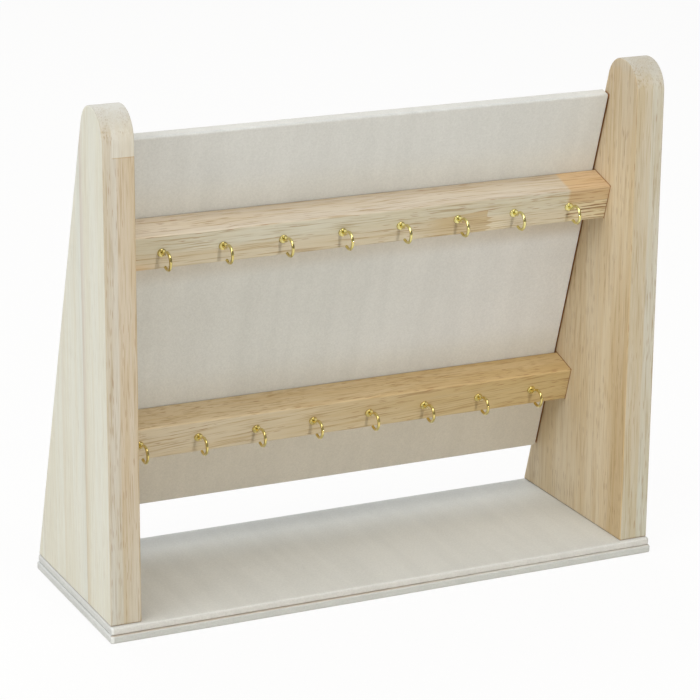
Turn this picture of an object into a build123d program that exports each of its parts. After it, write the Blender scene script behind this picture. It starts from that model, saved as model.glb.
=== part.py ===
from build123d import *
import os
from math import atan2, cos, degrees, hypot, pi, radians, sin, tan

os.makedirs("parts", exist_ok=True)

# Frame: X to the right, Y to the back, Z up, origin under the middle of the base. All sizes in millimetres.

# Cloth: velvet glued over every covered board and turned in at its edges
cloth_thick = 0.7
turn_in = 14.0
core_edge_r = 0.5
core_corner_r = 1.3

# Base: two covered boards, one glued on the other
base_length = 380.0
base_depth = 138.0
lower_core_thick = 4.0
upper_core_thick = 3.6
base_step = 0.8

# Side panels: upright front edge, slanting back edge, round top corners, set in from the base's edges
side_thick = 20.0
stand_height = 329.6
end_setback = 1.5
front_setback = 3.8
back_setback = 1.2
front_round_r = 19.5
top_flat = 0.9
back_round_run = 12.2
side_ease_r = 0.8

# Back panel: its back lies in the plane of the side panels' slanting edges
panel_core_thick = 6.0
panel_top_drop = 24.3
panel_foot_gap = 33.7
panel_side_gap = 1.0
lining_gap = 0.3

# Rails: square to the back panel, measured down the slant from the panel's top edge, a hairline short at each end
rail_depth = 22.0
rail_height = 24.0
rail_ease_r = 1.2
rail_end_gap = 0.3
upper_rail_drop = 55.7
lower_rail_drop = 198.7

# Cup hooks: spread evenly between the side panels; the loop's sizes are those of the wire's centre line
hook_count = 8
hook_end_gap = 28.5
wire_d = 2.0
loop_r = 5.4
loop_reach = 10.0
loop_sag = 0.2
tail_length = 2.4
tip_ease_r = 0.5
collar_d = 5.8
collar_thick = 1.4
collar_dome_r = 0.9
shank_d = 2.4
shank_length = 9.0
point_length = 2.0
point_tip_d = 0.4
pilot_clear = 0.05

# Hidden fasteners: countersunk screws and dowels
screw_d = 3.5
screw_head_d = 7.0
screw_head_taper = 45.0
screw_clear = 0.1
base_screw_length = 28.0
base_screw_count = 3
base_screw_pitch = 42.0
panel_screw_length = 18.0
panel_screw_count = 3
panel_screw_pitch = 120.0
dowel_d = 8.0
dowel_in_side = 12.0
dowel_in_rail = 18.0
dowel_clear = 0.1
dowel_end_clear = 1.0


def spread(count, pitch):
    """Places of so many things at this pitch, centred on zero."""
    return [(i - (count - 1) / 2) * pitch for i in range(count)]


def dowel_seat(rail_middle, side_sign):
    """Where the middle line of a rail, and of its dowel, crosses a side panel's inner face."""
    return slant.from_local_coords((side_sign * inner_width / 2, rail_middle, panel_thick + rail_depth / 2))


# Covered boards: heights of the base, and the cloth's own outer roundings
lower_top = lower_core_thick + 2 * cloth_thick
base_top = lower_top + upper_core_thick + 2 * cloth_thick
upper_length = base_length - 2 * base_step
upper_depth = base_depth - 2 * base_step
cloth_edge_r = core_edge_r + cloth_thick
cloth_corner_r = core_corner_r + cloth_thick

# Outline of a side panel, and the room between the two
inner_width = base_length - 2 * (end_setback + side_thick)
foot_depth = base_depth - front_setback - back_setback
side_front = front_setback - base_depth / 2
side_back = side_front + foot_depth
top_back = side_front + front_round_r + top_flat + back_round_run
lean = atan2(side_back - top_back, stand_height - base_top)
back_round_r = back_round_run / tan(pi / 4 - lean / 2)
side_middle = (inner_width + side_thick) / 2

# Slant plane: origin at the square top back corner, Y up the slant, Z forward from the back edges
slant = Plane(origin=(0, top_back, stand_height), x_dir=(1, 0, 0), z_dir=(0, -cos(lean), -sin(lean)))

# Back panel and rails in the slant plane
slant_length = hypot(side_back - top_back, stand_height - base_top)
panel_thick = panel_core_thick + 2 * cloth_thick
panel_width = inner_width - 2 * panel_side_gap
panel_length = slant_length - panel_top_drop - panel_foot_gap
panel_middle = -panel_top_drop - panel_length / 2
rail_length = inner_width - 2 * rail_end_gap
rail_front = panel_thick + rail_depth
rail_middles = {
    "upper": -panel_top_drop - upper_rail_drop - rail_height / 2,
    "lower": -panel_top_drop - lower_rail_drop - rail_height / 2,
}

# Screws: the head's height follows from its taper
screw_head_height = (screw_head_d - screw_d) / 2 / tan(radians(screw_head_taper))
base_screw_seat = lower_top + cloth_thick
base_screw_points = [
    (side_x, side_front + foot_depth / 2 + step)
    for side_x in (-side_middle, side_middle)
    for step in spread(base_screw_count, base_screw_pitch)
]
panel_screw_points = [
    (step, rail_middle)
    for rail_middle in rail_middles.values()
    for step in spread(panel_screw_count, panel_screw_pitch)
]

# Cup hook: a lead bends up from the collar and runs smoothly into the loop
hook_pitch = (inner_width - 2 * hook_end_gap) / (hook_count - 1)
lead_run = loop_reach - collar_thick
lead_r = (lead_run**2 + loop_sag**2 - loop_r**2) / (2 * (loop_r - loop_sag))
lead_turn = degrees(atan2(lead_run, lead_r + loop_sag))
loop_turn = lead_turn + 180

# Base, lower board: the turned-over cloth lies round a raised field of the core
with BuildPart() as base_bottom_board:
    with BuildSketch(Plane.XY.offset(cloth_thick)):
        RectangleRounded(base_length - 2 * cloth_thick, base_depth - 2 * cloth_thick, core_corner_r)
    extrude(amount=lower_core_thick)
    fillet(base_bottom_board.edges().filter_by(Axis.Z, reverse=True), core_edge_r)
    with BuildSketch(Plane.XY.offset(lower_top - cloth_thick)):
        Rectangle(base_length - 2 * turn_in, base_depth - 2 * turn_in)
    extrude(amount=cloth_thick)
base_bottom_board.part.label = "base_bottom_board"
export_step(base_bottom_board.part, "parts/base_bottom_board.step")

with BuildPart() as base_bottom_velvet:
    with BuildSketch():
        RectangleRounded(base_length, base_depth, cloth_corner_r)
    extrude(amount=lower_top)
    fillet(base_bottom_velvet.edges().filter_by(Axis.Z, reverse=True), cloth_edge_r)
    add(base_bottom_board.part, mode=Mode.SUBTRACT)
base_bottom_velvet.part.label = "base_bottom_velvet"
export_step(base_bottom_velvet.part, "parts/base_bottom_velvet.step")

# Base, upper board: the plain core also shapes the inside of its cloth
with BuildPart() as upper_core:
    with BuildSketch(Plane.XY.offset(base_screw_seat)):
        RectangleRounded(upper_length - 2 * cloth_thick, upper_depth - 2 * cloth_thick, core_corner_r)
    extrude(amount=upper_core_thick)
    fillet(upper_core.edges().filter_by(Axis.Z, reverse=True), core_edge_r)
    with BuildSketch(Plane.XY.offset(lower_top)):
        Rectangle(upper_length - 2 * turn_in, upper_depth - 2 * turn_in)
    extrude(amount=cloth_thick)

with BuildPart() as base_top_board:
    add(upper_core.part)
    with BuildSketch(Plane.XY.offset(lower_top)):
        with Locations(*base_screw_points):
            Circle(screw_head_d / 2 + screw_clear)
    extrude(amount=cloth_thick, mode=Mode.SUBTRACT)
    with BuildSketch(Plane.XY.offset(base_screw_seat)):
        with Locations(*base_screw_points):
            Circle(screw_head_d / 2 + screw_clear)
    extrude(amount=screw_head_height, taper=screw_head_taper, mode=Mode.SUBTRACT)
    with BuildSketch(Plane.XY.offset(base_screw_seat)):
        with Locations(*base_screw_points):
            Circle(screw_d / 2 + screw_clear)
    extrude(amount=upper_core_thick, mode=Mode.SUBTRACT)
base_top_board.part.label = "base_top_board"
export_step(base_top_board.part, "parts/base_top_board.step")

with BuildPart() as base_top_velvet:
    with BuildSketch(Plane.XY.offset(lower_top)):
        RectangleRounded(upper_length, upper_depth, cloth_corner_r)
    extrude(amount=base_top - lower_top)
    fillet(base_top_velvet.edges().filter_by(Axis.Z, reverse=True), cloth_edge_r)
    add(upper_core.part, mode=Mode.SUBTRACT)
    with BuildSketch(Plane.XY.offset(lower_top)):
        with Locations(*base_screw_points):
            Circle(screw_head_d / 2 + screw_clear)
    extrude(amount=cloth_thick, mode=Mode.SUBTRACT)
    with BuildSketch(Plane.XY.offset(base_top - cloth_thick)):
        with Locations(*base_screw_points):
            Circle(screw_d / 2 + screw_clear)
    extrude(amount=cloth_thick, mode=Mode.SUBTRACT)
base_top_velvet.part.label = "base_top_velvet"
export_step(base_top_velvet.part, "parts/base_top_velvet.step")

# Screws up through the upper board into the side panels, hidden by the lower board
with BuildPart() as base_screws:
    with BuildSketch(Plane.XY.offset(base_screw_seat)):
        with Locations(*base_screw_points):
            Circle(screw_head_d / 2)
    extrude(amount=screw_head_height, taper=screw_head_taper)
    with BuildSketch(Plane.XY.offset(base_screw_seat)):
        with Locations(*base_screw_points):
            Circle(screw_d / 2)
    extrude(amount=base_screw_length)
base_screws.part.label = "base_screws"
export_step(base_screws.part, "parts/base_screws.step")

# Side panels: one outline, with pilot holes for the base's screws and sockets for the rails' dowels
for side_name, side_sign in (("left", -1), ("right", 1)):
    with BuildPart() as side_panel:
        with BuildSketch(Plane.YZ.offset(side_sign * side_middle)) as outline:
            with BuildLine():
                Polyline(
                    (side_front, base_top),
                    (side_back, base_top),
                    (top_back, stand_height),
                    (side_front, stand_height),
                    close=True,
                )
            make_face()
            fillet(outline.vertices().group_by(Axis.Y)[-1].sort_by(Axis.X)[0], front_round_r)
            fillet(outline.vertices().group_by(Axis.Y)[-1].sort_by(Axis.X)[-1], back_round_r)
        extrude(amount=side_thick / 2, both=True)
        outline_edges = side_panel.edges().filter_by(Axis.X, reverse=True)
        foot_corners = side_panel.edges().filter_by(Axis.X).group_by(Axis.Z)[0]
        fillet(outline_edges + foot_corners, side_ease_r)
        with BuildSketch(Plane.XY.offset(base_top)):
            with Locations(*base_screw_points):
                Circle(screw_d / 2 + pilot_clear)
        extrude(amount=base_screw_seat + base_screw_length - base_top, mode=Mode.SUBTRACT)
        for rail_middle in rail_middles.values():
            with BuildSketch(Plane(origin=dowel_seat(rail_middle, side_sign), z_dir=(side_sign, 0, 0))):
                Circle(dowel_d / 2 + dowel_clear)
            extrude(amount=dowel_in_side + dowel_end_clear, mode=Mode.SUBTRACT)
    side_panel.part.label = f"side_panel_{side_name}"
    export_step(side_panel.part, f"parts/side_panel_{side_name}.step")

# Back panel: board, cloth turned in on the back, and a lining let in between the turned edges
with BuildPart() as panel_core:
    with BuildSketch(slant.offset(cloth_thick)):
        with Locations((0, panel_middle)):
            RectangleRounded(panel_width - 2 * cloth_thick, panel_length - 2 * cloth_thick, core_corner_r)
    extrude(amount=panel_core_thick)
    fillet(panel_core.edges().filter_by(Axis(slant.origin, slant.z_dir), reverse=True), core_edge_r)

with BuildPart() as panel_board:
    add(panel_core.part)
    with BuildSketch(slant.offset(cloth_thick)):
        with Locations(*panel_screw_points):
            Circle(screw_head_d / 2 + screw_clear)
    extrude(amount=screw_head_height, taper=screw_head_taper, mode=Mode.SUBTRACT)
    with BuildSketch(slant.offset(cloth_thick)):
        with Locations(*panel_screw_points):
            Circle(screw_d / 2 + screw_clear)
    extrude(amount=panel_core_thick, mode=Mode.SUBTRACT)
panel_board.part.label = "panel_board"
export_step(panel_board.part, "parts/panel_board.step")

with BuildPart() as panel_velvet:
    with BuildSketch(slant):
        with Locations((0, panel_middle)):
            RectangleRounded(panel_width, panel_length, cloth_corner_r)
    extrude(amount=panel_thick)
    fillet(panel_velvet.edges().filter_by(Axis(slant.origin, slant.z_dir), reverse=True), cloth_edge_r)
    add(panel_core.part, mode=Mode.SUBTRACT)
    with BuildSketch(slant):
        with Locations((0, panel_middle)):
            Rectangle(panel_width - 2 * turn_in, panel_length - 2 * turn_in)
    extrude(amount=cloth_thick, mode=Mode.SUBTRACT)
    with BuildSketch(slant.offset(panel_thick - cloth_thick)):
        with Locations(*panel_screw_points):
            Circle(screw_d / 2 + screw_clear)
    extrude(amount=cloth_thick, mode=Mode.SUBTRACT)
panel_velvet.part.label = "panel_velvet"
export_step(panel_velvet.part, "parts/panel_velvet.step")

lining_inset = turn_in + lining_gap
with BuildPart() as panel_lining:
    with BuildSketch(slant):
        with Locations((0, panel_middle)):
            Rectangle(panel_width - 2 * lining_inset, panel_length - 2 * lining_inset)
    extrude(amount=cloth_thick)
panel_lining.part.label = "panel_lining"
export_step(panel_lining.part, "parts/panel_lining.step")

# Screws from behind through the back panel into the rails
with BuildPart() as panel_screws:
    with BuildSketch(slant.offset(cloth_thick)):
        with Locations(*panel_screw_points):
            Circle(screw_head_d / 2)
    extrude(amount=screw_head_height, taper=screw_head_taper)
    with BuildSketch(slant.offset(cloth_thick)):
        with Locations(*panel_screw_points):
            Circle(screw_d / 2)
    extrude(amount=panel_screw_length)
panel_screws.part.label = "panel_screws"
export_step(panel_screws.part, "parts/panel_screws.step")

# Rails: bars with eased edges, drilled for the panel's screws, the hooks and the dowels
for rail_name, rail_middle in rail_middles.items():
    with BuildPart() as rail:
        with BuildSketch(slant.offset(panel_thick)):
            with Locations((0, rail_middle)):
                Rectangle(rail_length, rail_height)
        extrude(amount=rail_depth)
        fillet(rail.edges().filter_by(Axis.X), rail_ease_r)
        with BuildSketch(slant.offset(panel_thick)):
            with Locations((0, rail_middle)):
                with GridLocations(panel_screw_pitch, 0, panel_screw_count, 1):
                    Circle(screw_d / 2 + pilot_clear)
        extrude(amount=cloth_thick + panel_screw_length - panel_thick, mode=Mode.SUBTRACT)
        with BuildSketch(slant.offset(rail_front)):
            with Locations((0, rail_middle)):
                with GridLocations(hook_pitch, 0, hook_count, 1):
                    Circle(shank_d / 2 + pilot_clear)
        extrude(amount=-shank_length - point_length, mode=Mode.SUBTRACT)
        for side_sign in (-1, 1):
            with BuildSketch(Plane(origin=dowel_seat(rail_middle, side_sign), z_dir=(-side_sign, 0, 0))):
                Circle(dowel_d / 2 + dowel_clear)
            extrude(amount=dowel_in_rail + dowel_end_clear, mode=Mode.SUBTRACT)
    rail.part.label = f"{rail_name}_rail"
    export_step(rail.part, f"parts/{rail_name}_rail.step")

# Dowels between the rails' ends and the side panels
with BuildPart() as rail_dowels:
    for rail_middle in rail_middles.values():
        for side_sign in (-1, 1):
            into_rail = Plane(origin=dowel_seat(rail_middle, side_sign), z_dir=(-side_sign, 0, 0))
            with BuildSketch(into_rail.offset(-dowel_in_side)):
                Circle(dowel_d / 2)
            extrude(amount=dowel_in_side + dowel_in_rail)
rail_dowels.part.label = "rail_dowels"
export_step(rail_dowels.part, "parts/rail_dowels.step")

# Cup hooks: shank in the rail, collar on its front, and a loop of wire that ends below the collar
for rail_name, rail_middle in rail_middles.items():
    for hook_number, hook_x in enumerate(spread(hook_count, hook_pitch), 1):
        seat = slant.from_local_coords((hook_x, rail_middle, rail_front))
        seat_plane = Plane(origin=seat, x_dir=slant.x_dir, z_dir=slant.z_dir)
        wire_plane = Plane(origin=seat, x_dir=slant.z_dir, z_dir=(-1, 0, 0))
        with BuildPart() as hook:
            with BuildSketch(seat_plane):
                Circle(collar_d / 2)
            extrude(amount=collar_thick)
            fillet(hook.edges().sort_by(Axis(seat, slant.z_dir))[-1], collar_dome_r)
            with BuildSketch(seat_plane):
                Circle(shank_d / 2)
            extrude(amount=-shank_length)
            with BuildSketch(seat_plane.offset(-shank_length)):
                Circle(shank_d / 2)
            with BuildSketch(seat_plane.offset(-shank_length - point_length)):
                Circle(point_tip_d / 2)
            loft()
            with BuildLine(wire_plane) as wire:
                stem = Line((collar_thick / 2, 0), (collar_thick, 0))
                lead = JernArc(stem @ 1, stem % 1, lead_r, lead_turn)
                loop = JernArc(lead @ 1, lead % 1, loop_r, -loop_turn)
                tail = Line(loop @ 1, loop @ 1 + (loop % 1) * tail_length)
            with BuildSketch(seat_plane.offset(collar_thick / 2)):
                Circle(wire_d / 2)
            sweep()
            tip_edge = hook.edges().filter_by(GeomType.CIRCLE).sort_by_distance(tail @ 1)[0]
            fillet(tip_edge, tip_ease_r)
        hook.part.label = f"{rail_name}_hook_{hook_number}"
        export_step(hook.part, f"parts/{rail_name}_hook_{hook_number}.step")
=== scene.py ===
from types import SimpleNamespace

import bmesh
import bpy
import numpy as np
from mathutils import Matrix, Vector


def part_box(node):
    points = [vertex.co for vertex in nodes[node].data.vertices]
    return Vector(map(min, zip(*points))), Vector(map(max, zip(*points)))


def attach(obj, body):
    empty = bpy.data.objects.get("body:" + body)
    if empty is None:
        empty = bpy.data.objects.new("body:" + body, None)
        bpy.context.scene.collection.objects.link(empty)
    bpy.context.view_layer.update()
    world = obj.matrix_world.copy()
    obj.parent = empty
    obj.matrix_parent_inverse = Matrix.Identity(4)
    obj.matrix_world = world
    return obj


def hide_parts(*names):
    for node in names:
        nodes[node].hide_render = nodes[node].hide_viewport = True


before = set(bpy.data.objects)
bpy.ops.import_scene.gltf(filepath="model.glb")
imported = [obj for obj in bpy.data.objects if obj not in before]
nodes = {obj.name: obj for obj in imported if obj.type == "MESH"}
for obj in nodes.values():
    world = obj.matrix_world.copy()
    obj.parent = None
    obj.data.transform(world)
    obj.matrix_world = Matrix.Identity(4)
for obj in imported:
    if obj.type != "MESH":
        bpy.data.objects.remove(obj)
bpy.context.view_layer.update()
MM = 0.001

# Camera: fitted to the stand's corners in a picture 700 pixels wide
IMAGE_PX = 700
SENSOR_MM = 36.0
FOCAL_PX = 2825.0
CAMERA_AT = (-0.7356, -1.5643, 0.6835)
CAMERA_YAW = -25.224
CAMERA_PITCH = -17.314
CAMERA_ROLL = 0.470

# Places taken from the frame, in metres
lower_low, lower_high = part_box("base_bottom_velvet")
upper_low, upper_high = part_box("base_top_velvet")
side_low, side_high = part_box("side_panel_right")
panel_low, panel_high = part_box("panel_velvet")
SIDE_OUTER_X = side_high.x
SIDE_THICK = side_high.x - side_low.x
SIDE_FRONT_Y = side_low.y
STAND_HEIGHT = side_high.z
PANEL_WIDTH = panel_high.x - panel_low.x

# Slant that the back panel lies on, from the square top back corner of the side panels
SLANT_RUN = 100.4 * MM
SLANT_RISE = 319.2 * MM
SLANT_TOP_Y = -32.6 * MM
LEAN = np.arctan2(SLANT_RUN, SLANT_RISE)
SLANT_TOP = Vector((0.0, SLANT_TOP_Y, STAND_HEIGHT))
SLANT_UP = Vector((0, -np.sin(LEAN), np.cos(LEAN)))
SLANT_FORWARD = Vector((0, -np.cos(LEAN), -np.sin(LEAN)))

# Back panel and rails: their sizes, and how far down the slant they are
PANEL_LENGTH = 276.6 * MM
PANEL_TOP_DROP = 24.3 * MM
PANEL_THICK = 7.4 * MM
RAIL_DEPTH = 22 * MM
RAIL_HEIGHT = 24 * MM
UPPER_RAIL_DROP = 92 * MM
LOWER_RAIL_DROP = 235 * MM

# Cloth: how far it is turned in, its own thickness and roundings, its points and the height of its swell
TURN_IN = 14 * MM
LINING_GAP = 0.3 * MM
CLOTH_THICK = 0.5 * MM
CLOTH_EDGE_R = 1.3 * MM
CLOTH_CORNER_R = 2.0 * MM
CLOTH_STEP = 2.5 * MM
WRAP_ROWS = (1, 6, 4, 6, 5)
CLOTH_SWELL = 0.04 * MM
LINING_SWELL = 0.03 * MM
LINING_POINTS = (120, 100)
MERGE_WITHIN = 0.002 * MM
SLIVER = 0.001 * MM

# Wood: the glued staves, the lamellae of the edges, and the joints that show
STAVE_WIDTH = 40.3 * MM
LAMELLA_SHARE = 0.42
SIDE_JOINT_Z = 302.0 * MM
RAIL_JOINT_X = 139.5 * MM
HEART_END_X = 83.5 * MM
FINGER_PITCH = 3.6 * MM
FINGER_LENGTH = 5 * MM

WHITE = (1.0, 1.0, 1.0, 1.0)


def linear(red, green, blue):
    """A colour given in 0 to 255 display steps, as the linear values that shaders take."""
    steps = np.array([red, green, blue]) / 255
    low = steps / 12.92
    high = ((steps + 0.055) / 1.055) ** 2.4
    return (*np.where(steps <= 0.04045, low, high).tolist(), 1.0)


# Shader helpers: each adds a node or two, links the sockets it is given and returns an output
def put(tree, kind, values=(), out=0, **settings):
    """One shader node.

    Values fill its inputs in order: a socket is linked, None is left, the rest are constants."""
    made = tree.nodes.new("ShaderNode" + kind)
    for name, value in settings.items():
        setattr(made, name, value)
    for socket, value in zip(made.inputs, values):
        if isinstance(value, bpy.types.NodeSocket):
            tree.links.new(value, socket)
        elif value is not None:
            socket.default_value = value
    return made.outputs[out]


def calc(tree, operation, *values):
    """A Math node."""
    return put(tree, "Math", values, operation=operation)


def product(tree, first, *others):
    """All the values multiplied together."""
    for other in others:
        first = calc(tree, "MULTIPLY", first, other)
    return first


def share(tree, start, *parts):
    """A start value, plus each mask times its weight."""
    for mask, weight in parts:
        start = calc(tree, "MULTIPLY_ADD", mask, weight, start)
    return start


def opposite(tree, mask):
    """0 where the mask is 1, and 1 where it is 0."""
    return calc(tree, "SUBTRACT", 1.0, mask)


def fade(tree, value, start, end, low=0.0, high=1.0):
    """Goes smoothly from low to high while the value goes from start to end."""
    return put(tree, "MapRange", (value, start, end, low, high), interpolation_type="SMOOTHSTEP")


def between(tree, value, low, high, soft):
    """1 while the value is between low and high, and 0 outside, with soft ends."""
    rise = fade(tree, value, low - soft, low + soft)
    fall = fade(tree, value, high - soft, high + soft, 1.0, 0.0)
    return calc(tree, "MULTIPLY", rise, fall)


def noise(tree, place, scale, detail=2.0, roughness=0.5, distortion=0.0):
    """Noise of about this many lumps to a unit, from 0 to 1."""
    return put(tree, "TexNoise", (place, None, scale, detail, roughness, None, None, None, distortion))


def stretch(tree, place, along, across, over):
    """The place with each axis scaled by itself."""
    return put(tree, "VectorMath", (place, (along, across, over)), operation="MULTIPLY")


def axes(tree, vector):
    """X, Y and Z of a vector."""
    split = tree.nodes.new("ShaderNodeSeparateXYZ")
    tree.links.new(vector, split.inputs[0])
    return tuple(split.outputs)


def own_place(tree):
    """The place on a piece, in the stand's frame."""
    return put(tree, "TexCoord", out=3)


def facing(tree):
    """X, Y and Z of the direction that the surface faces."""
    return axes(tree, put(tree, "TexCoord", out=1))


def blend(tree, factor, first, second, mode="MIX"):
    """Two colours mixed."""
    made = tree.nodes.new("ShaderNodeMix")
    made.data_type = "RGBA"
    made.blend_type = mode
    for index, value in ((0, factor), (6, first), (7, second)):
        if isinstance(value, bpy.types.NodeSocket):
            tree.links.new(value, made.inputs[index])
        else:
            made.inputs[index].default_value = value
    return made.outputs[2]


def tinted(tree, colour, tint):
    """A colour multiplied by another."""
    return blend(tree, 1.0, colour, tint, "MULTIPLY")


def paint(tree, colour, mask, coat):
    """A colour with a coat over it where the mask is 1. A coat is its colour and how far it covers."""
    over, cover = coat
    return blend(tree, product(tree, mask, cover), colour, over)


def grey(tree, tone):
    """A tone as a colour."""
    return put(tree, "CombineColor", (tone, tone, tone))


def bump(tree, height, distance, strength=1.0):
    """The surface normal that a height gives."""
    made = tree.nodes.new("ShaderNodeBump")
    made.inputs["Strength"].default_value = strength
    made.inputs["Distance"].default_value = distance
    tree.links.new(height, made.inputs["Height"])
    return made.outputs[0]


def new_material(name):
    """An empty material with a Principled shader: (material, its tree, the shader)."""
    material = bpy.data.materials.new(name)
    material.use_nodes = True
    shader = material.node_tree.nodes["Principled BSDF"]
    return material, material.node_tree, shader


def set_constants(shader, constants):
    """Sets plain values on a shader's own sockets, by their names."""
    for name, value in constants.items():
        shader.inputs[name].default_value = value


def new_group(name, inputs, outputs):
    """A shader node group: (group, its input sockets by name, a function that fills an output)."""
    group = bpy.data.node_groups.new(name, "ShaderNodeTree")
    for socket_name, socket_type in inputs:
        group.interface.new_socket(socket_name, in_out="INPUT", socket_type=socket_type)
    for socket_name, socket_type in outputs:
        group.interface.new_socket(socket_name, in_out="OUTPUT", socket_type=socket_type)
    start = group.nodes.new("NodeGroupInput")
    end = group.nodes.new("NodeGroupOutput")
    return group, start.outputs, lambda name, socket: group.links.new(socket, end.inputs[name])


def use_group(tree, group, **inputs):
    """Places a node group and returns its outputs by name."""
    made = tree.nodes.new("ShaderNodeGroup")
    made.node_tree = group
    for name, value in inputs.items():
        if isinstance(value, bpy.types.NodeSocket):
            tree.links.new(value, made.inputs[name])
        else:
            made.inputs[name].default_value = value
    return made.outputs


# Shared effects: lumps to a metre along the fibres and across them
GRAIN_LUMPS = {
    "sway": (9, 26),
    "band": (4, 75),
    "streak": (16, 330),
    "line": (27, 1150),
    "fibre": (80, 2400),
    "vessel": (95, 1250),
    "crowding": (14, 120),
}
GRAIN_SWAY = 5 * MM
BAND_RANGE = (0.28, 0.72)
STREAK_RANGE = (0.25, 0.75)
LINE_RANGE = (0.51, 0.68)
CROWDING_RANGE = (0.38, 0.72)
LEAST_CHANCES = (0.97, 0.55)
VESSEL_RANGE = (0.38, 0.18)
BRUSH_LUMPS = (95, 7, 7)
CLOUD_LUMPS = 30.0
TUFT_LUMPS = 900.0
BRUSH_SHARE = 0.6
MOTTLE_RANGE = (0.3, 0.7)


def make_grain_group():
    """Straight grain of a pale hardwood, with the first axis along the fibres.

    Each effect is noise drawn out along fibres that sway a little. Band is as wide as growth rings, Streak
    is finer, Line are thin dark lines and Fibre is the finest. Pores are short dark vessels: drawn-out
    cells picked by chance, and more of them where they crowd."""
    group, start, fill = new_group(
        "hardwood_grain",
        [("Place", "NodeSocketVector"), ("Crowd", "NodeSocketFloat")],
        [(name, "NodeSocketFloat") for name in ("Band", "Streak", "Line", "Pores", "Fibre")],
    )

    def drawn_out(place, effect):
        along, across = GRAIN_LUMPS[effect]
        return stretch(group, place, along, across, across)

    sway = put(group, "TexNoise", (drawn_out(start["Place"], "sway"), None, 1.0, 2.0), out=1)
    sway = put(group, "VectorMath", (sway, (0.5, 0.5, 0.5)), operation="SUBTRACT")
    sway = put(group, "VectorMath", (sway, (0.0, GRAIN_SWAY, GRAIN_SWAY)), operation="MULTIPLY")
    place = put(group, "VectorMath", (start["Place"], sway), operation="ADD")
    band = noise(group, drawn_out(place, "band"), 1.0, 2.0, 0.5)
    streak = noise(group, drawn_out(place, "streak"), 1.0, 3.0, 0.6)
    line = noise(group, drawn_out(place, "line"), 1.0, 2.0, 0.6)
    fibre = noise(group, drawn_out(place, "fibre"), 1.0, 2.0, 0.6)
    cells = (drawn_out(place, "vessel"), None, 1.0)
    nearness = put(group, "TexVoronoi", cells)
    chance = put(group, "SeparateColor", (put(group, "TexVoronoi", cells, out=1),))
    crowding = noise(group, drawn_out(place, "crowding"), 1.0, 2.0, 0.5)
    crowding = calc(group, "ADD", crowding, start["Crowd"])
    least_chance = fade(group, crowding, *CROWDING_RANGE, *LEAST_CHANCES)
    picked = calc(group, "GREATER_THAN", chance, least_chance)
    dash = fade(group, nearness, *VESSEL_RANGE)
    fill("Band", fade(group, band, *BAND_RANGE))
    fill("Streak", fade(group, streak, *STREAK_RANGE))
    fill("Line", fade(group, line, *LINE_RANGE))
    fill("Pores", calc(group, "MULTIPLY", picked, dash))
    fill("Fibre", fibre)
    return group


def make_nap_group():
    """Short velvet nap.

    Mottle is where the pile lies a little differently: noise in upright bands, and clouds. Fibre is finer
    noise, the single tufts."""
    group, start, fill = new_group(
        "velvet_nap",
        [("Place", "NodeSocketVector")],
        [("Mottle", "NodeSocketFloat"), ("Fibre", "NodeSocketFloat")],
    )
    place = start["Place"]
    brush = noise(group, stretch(group, place, *BRUSH_LUMPS), 1.0, 2.0, 0.5)
    cloud = noise(group, place, CLOUD_LUMPS, 3.0, 0.6)
    mottle = share(group, 0.0, (brush, BRUSH_SHARE), (cloud, 1 - BRUSH_SHARE))
    fill("Mottle", fade(group, mottle, *MOTTLE_RANGE))
    fill("Fibre", noise(group, place, TUFT_LUMPS, 3.0, 0.7))
    return group


grain_group = make_grain_group()
nap_group = make_nap_group()

# Wood surface
WARM_TINT = (0.90, 0.83, 0.70, 1.0)
LINE_TINT = (0.70, 0.60, 0.47, 1.0)
PORE_BROWN = linear(140, 92, 48)
BAND_SHARE = 0.55
DRAWN_RANGE = (0.22, 0.78)
FIBRE_RANGE = (0.3, 0.7)
FIBRE_TONES = (0.965, 1.02)
WOOD_ROUGHNESS = (0.50, 0.62)
WOOD_RELIEF = 0.12 * MM


def finish_wood(tree, shader, colour, grain, warmth, line_share, pore_share):
    """Grain, pores, fibre and a sanded, thinly lacquered surface over a wood colour.

    Warmth says how far the bands and streaks turn the colour to tan, the shares how far lines and pores
    show."""
    drawn = share(tree, 0.0, (grain["Band"], BAND_SHARE), (grain["Streak"], 1 - BAND_SHARE))
    drawn = fade(tree, drawn, *DRAWN_RANGE)
    colour = blend(tree, product(tree, drawn, warmth), colour, tinted(tree, colour, WARM_TINT))
    colour = blend(tree, product(tree, grain["Line"], line_share), colour, tinted(tree, colour, LINE_TINT))
    colour = blend(tree, product(tree, grain["Pores"], pore_share), colour, PORE_BROWN)
    fibre_tone = fade(tree, grain["Fibre"], *FIBRE_RANGE, *FIBRE_TONES)
    tree.links.new(tinted(tree, colour, grey(tree, fibre_tone)), shader.inputs["Base Color"])
    tree.links.new(fade(tree, grain["Streak"], 0.0, 1.0, *WOOD_ROUGHNESS), shader.inputs["Roughness"])
    height = product(tree, calc(tree, "SUBTRACT", grain["Fibre"], grain["Pores"]), 0.5)
    tree.links.new(bump(tree, height, WOOD_RELIEF, 0.6), shader.inputs["Normal"])
    set_constants(shader, {"Specular IOR Level": 0.3})


def slant_place(tree, y, z):
    """How far a place is in front of the slant, and how far down it from the top."""
    behind = calc(tree, "SUBTRACT", y, SLANT_TOP.y)
    below = calc(tree, "SUBTRACT", SLANT_TOP.z, z)
    forward = calc(tree, "MULTIPLY_ADD", behind, SLANT_FORWARD.y, product(tree, below, -SLANT_FORWARD.z))
    drop = calc(tree, "MULTIPLY_ADD", behind, -SLANT_UP.y, product(tree, below, SLANT_UP.z))
    return forward, drop


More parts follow.
